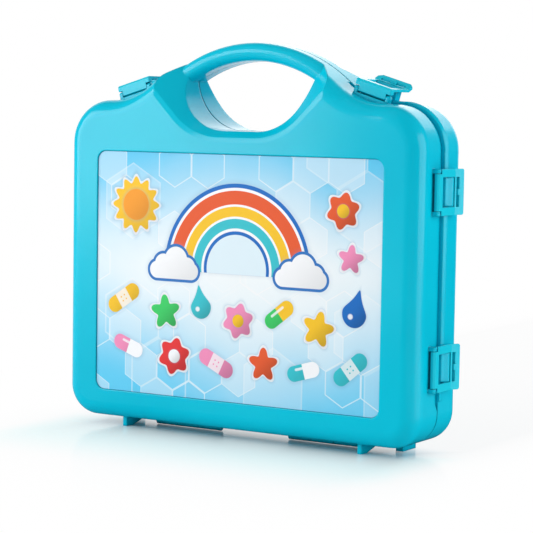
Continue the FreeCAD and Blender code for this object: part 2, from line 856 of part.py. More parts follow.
def add_tab_details(body, frame, outer, rear):
    """Bevel the tab's free corners, slit it behind the bar and add its small boss."""
    reach = rear + d.tab_length * cosine(d.tab_angle)
    tip = reach.value - d.plate_thickness.value * math.sin(math.radians(d.tab_angle.value))
    side = frame.length.value / 2
    bevel_edges(body, f"latch_{frame.name}_tab_corners", frame.corner,
                lambda point: point.y > tip - NEAR and abs(abs(point.z) - side) < NEAR)

    slit = new_sketch(body, f"latch_{frame.name}_slit", "YZ_Plane")
    half = d.tab_slot_length / 2
    far = rear + d.tab_slot_width
    draw_loop(slit, [(rear, -half), (far, -half), (far, half), (rear, half)], [None] * 4)
    pocket(body, slit)

    # a frame on the outer face of the leaning tab: x along the lean, y out of the face
    lean_x = sine(d.tab_angle)
    lean_y = cosine(d.tab_angle)
    root_y = rear - d.plate_thickness * lean_x

    def on_tab(along, out):
        return outer + along * lean_x + out * lean_y, root_y + along * lean_y - out * lean_x

    boss = d.tab_boss_radius
    sketch = new_sketch(body, f"latch_{frame.name}_boss", "XY_Plane")
    sunk = -d.plate_thickness / 2
    points = [on_tab(d.tab_boss_along - boss, sunk), on_tab(d.tab_boss_along + boss, sunk),
              on_tab(d.tab_boss_along + boss / 2, d.tab_boss_height),
              on_tab(d.tab_boss_along - boss / 2, d.tab_boss_height)]
    draw_loop(sketch, points, [None] * 4)
    pad(body, sketch, 2 * boss, both_sides=True)


def build_latch(frame):
    """Snap latch: a barrel on the pin, a skirt, a windowed plate and a flared finger tab."""
    body = new_body(f"latch_{frame.name}")
    r = d.barrel_radius
    y = -d.pivot_back
    outer = d.pivot_rise + r + frame.rise
    under = outer - d.plate_thickness
    near = y + r + d.lug_clearance
    rear = d.frame_rear
    lean_x = d.tab_length * sine(d.tab_angle)
    lean_y = d.tab_length * cosine(d.tab_angle)
    lip_x = d.plate_thickness * cosine(d.tab_angle)
    lip_y = d.plate_thickness * sine(d.tab_angle)
    plate = new_sketch(body, f"latch_{frame.name}_plate", "XY_Plane")
    points = [
        (outer, near), (under, near), (under, rear), (under + lean_x, rear + lean_y),
        (under + lean_x + lip_x, rear + lean_y - lip_y), (outer, rear - lip_y),
    ]
    draw_loop(plate, points, [None] * len(points))
    pad(body, plate, frame.length, both_sides=True)

    window = new_sketch(body, f"latch_{frame.name}_window", "YZ_Plane")
    half = d.window_length / 2
    front = -d.window_front
    bar = rear - d.frame_bar
    draw_loop(window, [(front, -half), (bar, -half), (bar, half), (front, half)], [None] * 4)
    pocket(body, window)

    add_tab_details(body, frame, outer, rear)

    # barrel between the pivot lugs
    run = frame.length - 2 * (d.lug_length + d.lug_clearance)
    edge = d.skirt_edge_radius
    lap = near + d.seat_overlap
    crown = [(under, lap), (outer, lap), (outer, y - r + edge), (outer - edge, y - r)]
    flat = r * OCTAGON
    low = d.pivot_rise - r
    barrel = [(d.pivot_rise - flat, y - r), (low, y - flat), (low, y + flat),
              (d.pivot_rise - flat, y + r), (under, y + r)]
    sketch = new_sketch(body, f"latch_{frame.name}_barrel", "XY_Plane")
    draw_loop(sketch, crown + barrel, [None] * len(crown + barrel))
    draw_circle(sketch, d.pivot_rise, y, d.latch_pin_radius + d.running_clearance)
    pad(body, sketch, run, both_sides=True)

    # skirt of a raised latch, clear above the pivot lugs
    if frame.rise is not ZERO:
        high = d.pivot_rise + r + 2 * d.lug_clearance
        sketch = new_sketch(body, f"latch_{frame.name}_skirt", "XY_Plane")
        hem = [(high, y - r), (high, y + r), (under, y + r)]
        draw_loop(sketch, crown + hem, [None] * len(crown + hem))
        pad(body, sketch, frame.length, both_sides=True)
    seat_in_frame(body, frame, ZERO, ZERO, ZERO)
    return body


def build_pin(label, radius, length):
    pin = doc.addObject("Part::Cylinder", label)
    pin.Label = label
    bind(pin, "Radius", radius)
    bind(pin, "Height", length)
    return pin


def build_latch_pin(frame):
    pin = build_pin(f"latch_pin_{frame.name}", d.latch_pin_radius, frame.length)
    seat_in_frame(pin, frame, d.pivot_rise, -d.pivot_back, -frame.length / 2)
    return pin


def build_hinge_pin(name, low_x):
    length = d.knuckle_length * len(hinge_starts())
    pin = build_pin(f"hinge_pin_{name}", d.hinge_pin_radius, length)
    pin.Placement = FreeCAD.Placement(V(0, 0, 0), FreeCAD.Rotation(V(0, 1, 0), 90))
    bind(pin, "Placement.Base.x", low_x(length))
    bind(pin, "Placement.Base.y", parting_shift)
    bind(pin, "Placement.Base.z", d.hinge_height)
    return pin


pieces = [build_front_shell(), build_rear_shell(), build_label()]
pieces += [build_latch(frame) for frame in FRAMES]
pieces += [build_latch_pin(frame) for frame in FRAMES]
pieces.append(build_hinge_pin("right", lambda length: d.hinge_inner_end))
pieces.append(build_hinge_pin("left", lambda length: -d.hinge_inner_end - length))
doc.recompute()

failed = [item.Name for item in doc.Objects if {"Invalid", "Error"} & set(item.State)]
if failed:
    raise RuntimeError(f"failed objects: {failed}")
for piece in pieces:
    if piece.Shape.isNull() or not piece.Shape.isValid() or len(piece.Shape.Solids) != 1:
        raise RuntimeError(f"{piece.Label} is not one valid solid")

os.makedirs("parts", exist_ok=True)
for piece in pieces:
    piece.Shape.exportStep(f"parts/{piece.Label}.step")
    box = piece.Shape.BoundBox
    print(f"{piece.Label}: {piece.Shape.Volume / 1000:.2f} cm3, "
          f"{box.XLength:.1f} x {box.YLength:.1f} x {box.ZLength:.1f} mm")
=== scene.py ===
# %% [markdown]
# # A toy doctor case
#
# The case is two moulded half shells with an arched handle, a hinge under the bottom edge, six
# snap latches and a printed panel on the front. All of that is already there as solid nodes, in
# metres, with the origin on the floor under the middle of the case. This lesson adds what a solid
# can't carry: the plastic's finish, the print, the wire of the pins, some thin trim, a floor, light
# and a camera.

# %% Load the solids
import json

import bmesh
import bpy
import numpy as np
from mathutils import Matrix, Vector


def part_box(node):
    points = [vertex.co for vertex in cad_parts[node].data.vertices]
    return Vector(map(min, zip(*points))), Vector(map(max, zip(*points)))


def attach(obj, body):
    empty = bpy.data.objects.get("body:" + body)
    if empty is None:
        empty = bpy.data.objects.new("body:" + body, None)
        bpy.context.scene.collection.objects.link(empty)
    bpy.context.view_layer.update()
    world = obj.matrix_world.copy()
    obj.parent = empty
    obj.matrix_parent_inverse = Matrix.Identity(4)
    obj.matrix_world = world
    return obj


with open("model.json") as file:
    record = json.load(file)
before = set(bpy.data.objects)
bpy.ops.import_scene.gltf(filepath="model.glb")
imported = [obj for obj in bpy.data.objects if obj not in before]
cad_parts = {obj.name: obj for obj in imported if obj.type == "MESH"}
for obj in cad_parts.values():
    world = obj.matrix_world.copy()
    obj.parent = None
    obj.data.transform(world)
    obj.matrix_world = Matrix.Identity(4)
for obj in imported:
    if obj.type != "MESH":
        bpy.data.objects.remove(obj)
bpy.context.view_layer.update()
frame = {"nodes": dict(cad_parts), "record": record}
nodes = frame["nodes"]

# %% [markdown]
# ## The camera
#
# The photograph was taken from the right of the front, a little above the middle of the case, with
# a long lens. A camera can be turned with Euler angles, or its three axes can be written straight
# into its matrix. The axes are clearer here: one line of sight from two points, then a small roll.

# %% Camera from two points and a roll
EYE = np.array([0.65476, -1.05577, 0.2111])
LOOK_AT = np.array([0.006368, 0.002, 0.109227])
ROLL = np.radians(0.926)
FOCAL, SENSOR = 131.92, 36.0  # millimetres
NEAREST = 0.05


def view_matrix(eye, look_at, roll):
    """Camera matrix: columns are right, up and backwards, and right and up turn by the roll."""
    ahead = (look_at - eye) / np.linalg.norm(look_at - eye)
    right = np.cross(ahead, (0.0, 0.0, 1.0))
    right = right / np.linalg.norm(right)
    up = np.cross(right, ahead)
    turned_right = right * np.cos(roll) + up * np.sin(roll)
    turned_up = up * np.cos(roll) - right * np.sin(roll)
    matrix = np.eye(4)
    matrix[:3, 0] = turned_right
    matrix[:3, 1] = turned_up
    matrix[:3, 2] = -ahead
    matrix[:3, 3] = eye
    return Matrix(matrix.tolist())


lens = bpy.data.cameras.new("camera")
lens.sensor_width = SENSOR
lens.lens = FOCAL
lens.clip_start = NEAREST
camera = bpy.data.objects.new("camera", lens)
bpy.context.scene.collection.objects.link(camera)
camera.matrix_world = view_matrix(EYE, LOOK_AT, ROLL)
bpy.context.scene.camera = camera
print("camera", np.round(np.linalg.norm(EYE - LOOK_AT), 3), "m away")

# %% [markdown]
# ## Writing shader maths as Python
#
# A pattern such as a star is a formula, and a formula in nodes is a long chain of Math nodes.
# They could be added one at a time. It reads better when a socket behaves like a number: the
# class below turns `a * b + 1` into the nodes for it. Everything else, textures and shaders alike,
# comes from one method that takes the node's type, its settings and its inputs.


# %% A socket that does arithmetic
class Signal:
    """An output socket. An expression on it adds Math nodes to the same finish."""

    def __init__(self, finish, socket):
        self.finish = finish
        self.socket = socket

    def math(self, operation, *values):
        settings = {"operation": operation}
        return self.finish.add("ShaderNodeMath", settings, dict(enumerate(values)))

    def __add__(self, other):
        return self.math("ADD", self, other)

    def __sub__(self, other):
        return self.math("SUBTRACT", self, other)

    def __rsub__(self, other):
        return self.math("SUBTRACT", other, self)

    def __mul__(self, other):
        return self.math("MULTIPLY", self, other)

    def __truediv__(self, other):
        return self.math("DIVIDE", self, other)

    def __rtruediv__(self, other):
        return self.math("DIVIDE", other, self)

    def __neg__(self):
        return self.math("MULTIPLY", self, -1.0)

    def __abs__(self):
        return self.math("ABSOLUTE", self)

    __radd__ = __add__
    __rmul__ = __mul__

    def least(self, other):
        return self.math("MINIMUM", self, other)

    def most(self, other):
        return self.math("MAXIMUM", self, other)

    def root(self):
        return self.math("SQRT", self)

    def exponential(self):
        return self.math("EXPONENT", self)

    def cosine(self):
        return self.math("COSINE", self)

    def angle_from(self, across):
        return self.math("ARCTAN2", self, across)

    def wrap(self, period):
        return self.math("FLOORED_MODULO", self, period)

    def fade(self, low, high):
        """0 below low, 1 above high and a smooth step between."""
        settings = {"interpolation_type": "SMOOTHSTEP"}
        return self.finish.add("ShaderNodeMapRange", settings, {0: self, 1: low, 2: high})


# %% A finish: one material and the method that adds its nodes
class Finish:
    """A node material. add() makes any node; colours are mixed by blend()."""

    def __init__(self, name, owner=None):
        self.material = owner or bpy.data.materials.new(name)
        self.material.use_nodes = True
        self.tree = self.material.node_tree
        self.tree.nodes.clear()

    def add(self, kind, settings=None, inputs=None, outputs=(0,)):
        """One node of a type: its settings first, then the values or links of its sockets."""
        node = self.tree.nodes.new(kind)
        for key, value in (settings or {}).items():
            setattr(node, key, value)
        for key, value in (inputs or {}).items():
            if isinstance(value, Signal):
                self.tree.links.new(value.socket, node.inputs[key])
            else:
                node.inputs[key].default_value = value
        signals = [Signal(self, node.outputs[key]) for key in outputs if len(node.outputs)]
        return signals[0] if len(signals) == 1 else signals

    def blend(self, factor, first, second):
        """Colour mix: first where the factor is 0 and second where it is 1."""
        return self.add("ShaderNodeMix", {"data_type": "RGBA"}, {0: factor, 6: first, 7: second},
                        (2,))

    def place(self):
        """Object coordinates, in metres in the shared frame."""
        return self.add("ShaderNodeTexCoord", {}, {}, ("Object",))

    def noise(self, where, scale, detail=2.0):
        """Soft noise from 0 to 1, with a number of cells to the metre."""
        inputs = {"Vector": where, "Scale": scale, "Detail": detail}
        return self.add("ShaderNodeTexNoise", {}, inputs)

    def surface(self, shader):
        """End the material in a shader and hand it over."""
        self.add("ShaderNodeOutputMaterial", {}, {"Surface": shader}, ())
        return self.material


def tone(red, green, blue):
    """Linear colour of a display colour given in 0 to 255, with full alpha."""
    share = np.array([red, green, blue]) / 255.0
    linear = np.where(share <= 0.04045, share / 12.92, ((share + 0.055) / 1.055) ** 2.4)
    return (*linear.tolist(), 1.0)


print("turquoise is", np.round(tone(3, 200, 226), 3))

# %% [markdown]
# ## Turquoise plastic
#
# The shells and latches are injection moulded polypropylene: one strong colour right through, a
# satin gloss and edges that are never quite sharp. A flat colour would look like paint on card.
# So the colour drifts a little, as pigment does along the flow of the melt, and narrow nooks get a
# painted shade, darker and a deeper teal where little light reaches. The gloss is broken by a faint
# grain from the mould, and a Bevel node rounds every small edge that the solids leave sharp.

# %% The plastic
PAINTED_SHADE_REACH = 0.0035
NOOK_PAINTED_SHADE = tone(0, 124, 154)
RAYS = 8


def plastic(name, deep, clear, round_off):
    """One noise moves colour and roughness; painted shade darkens nooks with little open air above.

    The normal is a bevel's, under a height of grain / 4 + a slow wave.
    """
    finish = Finish(name)
    where = finish.place()
    flow = finish.noise(where, 9.0, 3.0)
    grain = finish.noise(where, 900.0, 2.0)
    colour = finish.blend(flow.fade(0.3, 0.7), deep, clear)
    # Painted shade: the colour goes to a dark teal in nooks where little open air is above a point.
    open_air = finish.add("ShaderNodeAmbientOcclusion", {"samples": RAYS},
                          {"Distance": PAINTED_SHADE_REACH}, ("AO",))
    colour = finish.blend(open_air.fade(0.1, 0.8), NOOK_PAINTED_SHADE, colour)
    edge = finish.add("ShaderNodeBevel", {"samples": RAYS}, {"Radius": round_off})
    wave = finish.noise(where, 55.0, 1.0)
    height = grain * 0.25 + wave
    normal = finish.add("ShaderNodeBump", {}, {
        "Strength": 0.06, "Distance": 0.0004, "Height": height, "Normal": edge})
    shader = finish.add("ShaderNodeBsdfPrincipled", {}, {
        "Base Color": colour, "Roughness": 0.11 + flow * 0.1, "IOR": 1.49,
        "Specular IOR Level": 0.26, "Normal": normal})
    return finish.surface(shader)


shell_plastic = plastic("turquoise_shell", tone(0, 191, 219), tone(3, 200, 226), 0.0012)
# Painted light: the latches get the shells' plastic painted lighter, to lift the shade on them.
lightened_latch_plastic = plastic("turquoise_latch_lightened", tone(18, 200, 224), tone(26, 208, 230), 0.0003)
print(shell_plastic.name, len(shell_plastic.node_tree.nodes), "nodes")

# %% [markdown]
# ## Wire for the pins
#
# The pins in the hinge and in the latches are drawn wire. Drawing leaves fine lines along the wire.
# Noise that is stretched hard in one direction gives such lines, but the pins lie in several
# directions and hardly show in their bores, so a plain fine noise moves colour and roughness.

# %% The steel
def drawn_wire(name):
    """Dull steel: one fine noise moves the grey and the roughness."""
    finish = Finish(name)
    speckle = finish.noise(finish.place(), 1400.0, 3.0)
    colour = finish.blend(speckle, tone(58, 66, 74), tone(104, 112, 120))
    shader = finish.add("ShaderNodeBsdfPrincipled", {}, {
        "Base Color": colour, "Metallic": 1.0, "Roughness": 0.22 + speckle * 0.2})
    return finish.surface(shader)


steel = drawn_wire("steel_pin")
print(steel.name, len(steel.node_tree.nodes), "nodes")

# %% [markdown]
# ## The printed panel: paper and hexagons
#
# The panel is a printed film: a sky that is white across the middle and blue at the top and bottom,
# with a loose honeycomb of pale cells. It could be an image, but formulas stay sharp at any size.
# The panel's own millimetres are used, u to the right and v up from its middle.
#
# A honeycomb is two rectangular grids of points. Each place belongs to the nearer point, and the
# distance to the cell's edge comes from the three directions across a hexagon.

# %% Coordinates on the panel and the honeycomb
low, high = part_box("front_label")
PANEL_MIDDLE = ((low + high) / 2)[:]
print("panel", np.round(np.array(high - low) * 1000, 1), "mm")


def panel_place(finish):
    """u and v in millimetres from the panel's middle."""
    x, _, z = finish.add("ShaderNodeSeparateXYZ", {}, {0: finish.place()}, (0, 1, 2))
    return (x - PANEL_MIDDLE[0]) * 1000.0, (z - PANEL_MIDDLE[2]) * 1000.0


def honeycomb(finish, u, v, size):
    """Distance from a cell's edge in cell widths, and a number that is random for each cell.

    For two point grids a half step apart, the nearer point gives (x, y); the distance is
    0.5 - max(|x|, |x| / 2 + |y| * sqrt(3) / 2).
    """
    tall = np.sqrt(3.0)
    su, sv = u / size + 40.0, v / size + 40.0 * tall
    ax, ay = su.wrap(1.0) - 0.5, sv.wrap(tall) - tall / 2
    bx, by = (su - 0.5).wrap(1.0) - 0.5, (sv - tall / 2).wrap(tall) - tall / 2
    nearer = (bx * bx + by * by - ax * ax - ay * ay).fade(-1e-5, 1e-5)
    x = bx + (ax - bx) * nearer
    y = by + (ay - by) * nearer
    edge = 0.5 - abs(x).most(abs(x) * 0.5 + abs(y) * (tall / 2))
    cell = finish.add("ShaderNodeCombineXYZ", {}, {0: su - x, 1: sv - y})
    chance = finish.add("ShaderNodeTexWhiteNoise", {"noise_dimensions": "2D"}, {"Vector": cell})
    return edge, chance


PAPER = tone(246, 252, 254)
UPPER_BLUE = tone(94, 204, 244)
LOWER_BLUE = tone(98, 208, 246)
SKY_DIP = 21.0
CELLS = ((25.0, 0.55), (43.0, 0.32))  # width in millimetres and strength


def sky(finish, u, v):
    """White across the middle, blue to the top and bottom, with pale cells of two sizes.

    A noise moves the heights up and down. The upper blue keeps off the middle by SKY_DIP, and the
    lower one climbs at the sides, in proportion to |u| and a little more on the left.
    """
    drift = finish.noise(finish.place(), 14.0, 2.0)
    height = v + (drift - 0.5) * 30.0
    aside = abs(u).fade(10.0, 95.0)
    upper = (height - SKY_DIP + aside * SKY_DIP).fade(-8.0, 80.0)
    lower = (abs(u) * 0.29 - u * 0.04 - height).fade(6.0, 106.0)
    colour = finish.blend(upper, PAPER, UPPER_BLUE)
    colour = finish.blend(lower, colour, LOWER_BLUE)
    for size, strength in CELLS:
        edge, chance = honeycomb(finish, u + size * 0.3, v - size * 0.21, size)
        line = edge.fade(0.034, 0.018) * chance.fade(0.45, 0.55)
        fill = chance.fade(0.80, 0.82) * edge.fade(0.0, 0.012) * 0.55
        colour = finish.blend(line.most(fill) * strength, colour, tone(255, 255, 255))
    return colour


# %% [markdown]
# ## The printed panel: small shapes
#
# Cheerful flat shapes are scattered on the panel. A printed shape is a distance: negative inside,
# zero on its outline. A disc, a capsule and a box need only lengths; a star, a flower and a drop
# are circles whose radius changes with the angle. One helper inks a distance with a colour.

# %% Distances for flat shapes
INK_EDGE = 0.14  # millimetres over which a printed edge softens


class Print:
    """The panel's print. Each method gives the distance in millimetres to one flat shape."""

    def __init__(self, finish, u, v, paper):
        self.finish = finish
        self.u = u
        self.v = v
        self.colour = paper

    def ink(self, distance, colour, strength=1.0, soft=INK_EDGE):
        """Lay a colour where the distance is negative, with an edge as soft as a print's."""
        cover = distance.fade(soft, -soft)
        if strength < 1.0:
            cover = cover * strength
        self.colour = self.finish.blend(cover, self.colour, colour)

    def paint(self, distance, centre, size, colour, shade=0.62):
        """Ink a shape, darker at its lower right, over a soft shadow as wide as size / 4."""
        self.ink(distance - size * 0.06, SHADOW, 0.34, size * 0.24)
        slope = (self.u - self.v - (centre[0] - centre[1])) / size
        dark = tuple(part * shade for part in colour[:3]) + (1.0,)
        cover = distance.fade(INK_EDGE, -INK_EDGE)
        body = self.finish.blend(slope.fade(-0.9, 1.9), colour, dark)
        self.colour = self.finish.blend(cover, self.colour, body)

    def local(self, centre, turn):
        """Coordinates about a centre, turned by an angle in degrees."""
        du, dv = self.u - centre[0], self.v - centre[1]
        if turn == 0:
            return du, dv
        c, s = float(np.cos(np.radians(turn))), float(np.sin(np.radians(turn)))
        return du * c + dv * s, dv * c - du * s

    def disc(self, centre, radius):
        """Length from the centre less the radius."""
        x, y = self.local(centre, 0)
        return (x * x + y * y).root() - radius

    def bar(self, centre, turn, half, radius):
        """Capsule: length from a straight middle line of a half length, less the radius."""
        x, y = self.local(centre, turn)
        over = (abs(x) - half).most(0.0)
        return (over * over + y * y).root() - radius

    def petals(self, centre, turn, radius, count, depth):
        """Wavy circle: radius * (1 + depth * cos(count * angle))."""
        x, y = self.local(centre, turn)
        wave = (y.angle_from(x) * count).cosine() * (radius * depth)
        return (x * x + y * y).root() - wave - radius

    def drop(self, centre, turn, radius):
        """Circle that narrows to a point: x grows by (1 + (y / radius) ^ 2) above the middle."""
        x, y = self.local(centre, turn)
        above = y.most(0.0) / radius
        wide = x * (above * above + 1.0)
        tall = y.least(0.0) + above * (radius * 0.55)
        return (wide * wide + tall * tall).root() - radius


# %% Motifs made of the shapes
WHITE = tone(252, 253, 255)
ORANGE = tone(236, 92, 44)
YELLOW = tone(252, 200, 36)
TEAL = tone(52, 196, 208)
BLUE = tone(18, 110, 196)
GREEN = tone(58, 208, 104)
PINK = tone(246, 146, 190)
RED = tone(236, 52, 54)
SHADOW = tone(96, 150, 190)
INNER_SKY = tone(226, 244, 252)
SUN_HEART = tone(250, 160, 40)


def rainbow(art, centre, radius):
    """Half rings from the outside in, cut off below by the clouds that stand in front."""
    x, y = art.local(centre, 0)
    ring = (x * x + y * y).root()
    below = -y - 3.0
    bands = ((0.0, BLUE), (2.6, WHITE), (4.4, ORANGE), (13.0, WHITE), (14.4, YELLOW),
             (20.6, WHITE), (22.0, TEAL), (28.0, WHITE), (29.8, BLUE), (32.0, INNER_SKY))
    art.ink((ring - (radius + 1.0)).most(below), SHADOW, 0.3, 3.0)
    for inset, colour in bands:
        art.ink((ring - (radius - inset)).most(below), colour)


def cloud(art, centre, size):
    """Three discs over a bar, with a blue rim under the white."""
    cx, cy = centre
    shape = art.bar((cx, cy), 0, size, size * 0.42)
    for du, dv, radius in ((-0.62, 0.3, 0.5), (0.12, 0.52, 0.66), (0.78, 0.22, 0.46)):
        shape = shape.least(art.disc((cx + du * size, cy + dv * size), radius * size))
    art.ink(shape - 1.8, BLUE)
    art.paint(shape, (cx, cy + size * 0.4), size * 1.5, WHITE, 0.8)


def plaster(art, centre, turn, colour):
    """A sticking plaster: a bar, a paler pad across its middle and a few small holes."""
    art.paint(art.bar(centre, turn, 8.4, 5.2), centre, 12.0, colour)
    x, y = art.local(centre, turn)
    art.ink((abs(x) - 4.6).most(abs(y) - 5.2), WHITE, 0.72)
    dx, dy = x.wrap(2.9) - 1.45, y.wrap(2.9) - 1.45
    dot = (dx * dx + dy * dy).root()
    art.ink((dot - 0.55).most(abs(x) - 3.7).most(abs(y) - 3.7), colour)


def capsule(art, centre, turn, left, right):
    """A two-coloured capsule with a highlight along its upper edge."""
    shape = art.bar(centre, turn, 6.8, 4.9)
    x, _ = art.local(centre, turn)
    art.paint(shape, centre, 11.0, left)
    art.ink(shape.most(-x), right)
    lift = np.radians(turn + 90.0)
    spot = (centre[0] + 2.2 * float(np.cos(lift)), centre[1] + 2.2 * float(np.sin(lift)))
    art.ink(art.bar(spot, turn, 4.8, 0.8), WHITE, 0.75, 0.3)


def star(art, centre, turn, radius, colour):
    """Five round points on a slightly wider white rim."""
    art.paint(art.petals(centre, turn, radius + 1.3, 5, 0.26), centre, radius, WHITE, 0.9)
    art.paint(art.petals(centre, turn, radius, 5, 0.27), centre, radius, colour)


def flower(art, centre, radius, colour, heart):
    """Six petals on a white rim, with a disc for the heart."""
    art.paint(art.petals(centre, 18, radius + 1.4, 6, 0.14), centre, radius, WHITE, 0.9)
    art.paint(art.petals(centre, 18, radius, 6, 0.15), centre, radius, colour)
    art.paint(art.disc(centre, radius * 0.42), centre, radius * 0.42, heart)


def water(art, centre, turn, radius, colour):
    """A drop with a small highlight at its left."""
    art.paint(art.drop(centre, turn, radius), centre, radius, colour)
    spot = (centre[0] - radius * 0.32, centre[1] - radius * 0.2)
    art.ink(art.disc(spot, radius * 0.2), WHITE, 0.85, 0.5)


def sun(art, centre):
    """Twelve short rays on a white rim, with a deeper disc."""
    art.paint(art.petals(centre, 0, 17.6, 12, 0.12), centre, 17.0, WHITE, 0.9)
    art.paint(art.petals(centre, 0, 16.0, 12, 0.13), centre, 16.0, YELLOW, 0.8)
    art.paint(art.disc(centre, 10.0), centre, 10.0, SUN_HEART, 0.8)


# %% [markdown]
# The layout is a rainbow between two clouds with a sun beside it, and below it a loose wave of
# plasters, capsules, drops, stars and flowers in the colours of a toy box.

# %% The panel's finish
def printed_panel(name):
    """Print under a satin film: the colour from the layers, roughness from a fine noise."""
    finish = Finish(name)
    u, v = panel_place(finish)
    art = Print(finish, u, v, sky(finish, u, v))
    rainbow(art, (2.0, 6.0), 54.0)
    cloud(art, (-45.0, 3.0), 13.0)
    cloud(art, (49.0, 3.0), 13.0)
    sun(art, (-75.0, 44.0))
    flower(art, (78.0, 46.0), 10.0, ORANGE, YELLOW)
    star(art, (84.0, 17.0), 84, 7.0, PINK)
    plaster(art, (-84.0, -17.0), 34, YELLOW)
    star(art, (-51.0, -24.0), 96, 8.8, GREEN)
    water(art, (-24.0, -19.0), 8, 7.6, TEAL)
    flower(art, (4.0, -26.0), 9.8, PINK, YELLOW)
    capsule(art, (34.0, -20.0), 38, GREEN, YELLOW)
    star(art, (62.0, -27.0), 78, 8.8, YELLOW)
    water(art, (87.0, -16.0), -14, 8.4, BLUE)
    capsule(art, (-80.0, -48.0), -20, PINK, WHITE)
    flower(art, (-44.0, -52.0), 10.4, RED, WHITE)
    plaster(art, (-12.0, -54.0), -26, PINK)
    star(art, (23.0, -52.0), 90, 8.4, ORANGE)
    capsule(art, (52.0, -54.0), 16, TEAL, WHITE)
    plaster(art, (85.0, -50.0), 40, TEAL)
    fibre = finish.noise(finish.place(), 700.0, 2.0)
    normal = finish.add("ShaderNodeBump", {}, {
        "Strength": 0.05, "Distance": 0.0002, "Height": fibre})
    shader = finish.add("ShaderNodeBsdfPrincipled", {}, {
        "Base Color": art.colour, "Roughness": 0.34 + fibre * 0.1, "IOR": 1.47,
        "Specular IOR Level": 0.25, "Normal": normal})
    return finish.surface(shader)


panel = printed_panel("printed_label")
print(panel.name, len(panel.node_tree.nodes), "nodes")

# %% [markdown]
# ## Finishes on the solids
#
# The record names a material slot for each solid. The latches share the shells' slot, but they are
# small and thin, so they take the plastic with the finer rounding, painted lighter to lift the
# shade that falls on them. Putting the finish in the slots leaves the solids' meshes as they are.

# %% Give every solid its finish
FINISHES = {"turquoise_plastic": shell_plastic, "printed_label": panel, "steel_pin": steel}
for part in frame["record"]["subparts"]:
    solid = nodes[part["node"]]
    finish = FINISHES[part["material_slot"]]
    if finish is shell_plastic and part["node"].startswith("latch"):
        finish = lightened_latch_plastic
    for slot in solid.material_slots:
        slot.material = finish

# %% [markdown]
# ## Thin trim from grids of points
#
# A few mouldings are too thin to be worth a solid: a slope on a bead, a lip, a cap. They could be
# modelled by hand, but each is a simple function of two parameters. So its points are worked out
# as one array, a grid of quads goes through them, and points that meet are merged, which closes
# the seams and the ends.

# %% A surface from a grid of points
MERGE = 1e-6
CREASE = np.radians(50.0)


def grid_mesh(name, points):
    """Object with one quad for each cell of a grid of points, given as rows x columns x 3."""
    rows, columns = points.shape[:2]
    corner = (np.arange(rows - 1)[:, None] * columns + np.arange(columns - 1)[None, :]).ravel()
    faces = np.stack([corner, corner + columns, corner + columns + 1, corner + 1], axis=1)
    mesh = bpy.data.meshes.new(name)
    mesh.from_pydata(points.reshape(-1, 3).tolist(), [], faces.tolist())
    mesh.update()
    sheet = bpy.data.objects.new(name, mesh)
    bpy.context.scene.collection.objects.link(sheet)
    return sheet


def close_up(piece):
    """Merge the points that meet at seams and poles, turn all faces outwards and smooth them."""
    cells = bmesh.new()
    cells.from_mesh(piece.data)
    bmesh.ops.remove_doubles(cells, verts=cells.verts, dist=MERGE)
    bmesh.ops.recalc_face_normals(cells, faces=cells.faces)
    cells.to_mesh(piece.data)
    cells.free()
    piece.data.shade_smooth()
    piece.data.set_sharp_from_angle(angle=CREASE)


# %% [markdown]
# ## The wedge beside the groove
#
# Behind the groove the rear half has a raised bead that is not square: its face slopes up from the
# groove and falls off behind, so it shows a light line along the side. One profile of distance
# behind the parting line and height above the skin is carried along the flank, from latch to latch.

# %% A profile along the flank
SIDES = (("right", 1.0), ("left", -1.0))
HALF, TOP, CORNER = 0.1300, 0.2134, 0.0280  # half width, shoulder's height, corner's radius
SHOULDER, SWEEP = 0.10100, 0.05428  # where the sweep to the handle starts, and its radius
SWEEP_TURN = 0.12  # radians of the sweep that the wedge follows
PARTING = 0.0020
WEDGE = np.array([(0.02, -0.6), (0.02, 0.7), (0.08, 0.9), (0.25, 1.02), (1.2, 1.45), (2.2, 1.9),
                  (2.55, 2.0), (2.9, 2.0), (3.2, 1.9), (3.5, 1.6), (3.72, 1.0),
                  (3.78, -0.4)]) / 1000.0


def flank_line(low, high):
    """Rows of x, z and the outward direction, up the straight part of a flank between two heights.

    Where the upper height is None the line goes on round the corner, with x = c + r cos a and
    z = d + r sin a, and over the level shoulder into the sweep, a concave arc about a point above.
    """
    ends = np.array([low, TOP - CORNER if high is None else high])
    side = np.stack([np.full(2, HALF), ends, np.ones(2), np.zeros(2)], axis=1)
    if high is not None:
        return side
    a = np.linspace(0.0, np.pi / 2, 25)
    b = np.linspace(0.0, SWEEP_TURN, 5)
    bend = np.stack([HALF - CORNER + CORNER * np.cos(a), TOP - CORNER + CORNER * np.sin(a),
                     np.cos(a), np.sin(a)], axis=1)
    dip = np.stack([SHOULDER - SWEEP * np.sin(b), TOP + SWEEP - SWEEP * np.cos(b),
                    np.sin(b), np.cos(b)], axis=1)
    return np.concatenate([side[:1], bend, dip])


# %% The profile carried along the line
def wedge(name, hand, line, profile):
    """Grid of line + outward * height, set back by the profile's distance.

    The profile closes on itself under the skin. Both end rows come twice, once drawn together to
    the middle of the profile's foot, which closes the ends.
    """
    line = np.concatenate([line[:1], line, line[-1:]])
    profile = np.concatenate([profile, profile[:1]])
    x, z, out_x, out_z = (line[:, [column]] for column in range(4))
    back, height = (np.tile(profile[:, column], (len(line), 1)) for column in range(2))
    back[[0, -1]] = profile[:, 0].max() / 2
    height[[0, -1]] = profile[0, 1]
    points = np.stack([hand * (x + out_x * height), PARTING + back, z + out_z * height], axis=-1)
    strip = grid_mesh(name, points)
    close_up(strip)
    strip.data.materials.append(shell_plastic)
    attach(strip, "rear_half")
    return strip


# %% Beads between the latches and round the corners
UNDER_LATCH = 0.0015

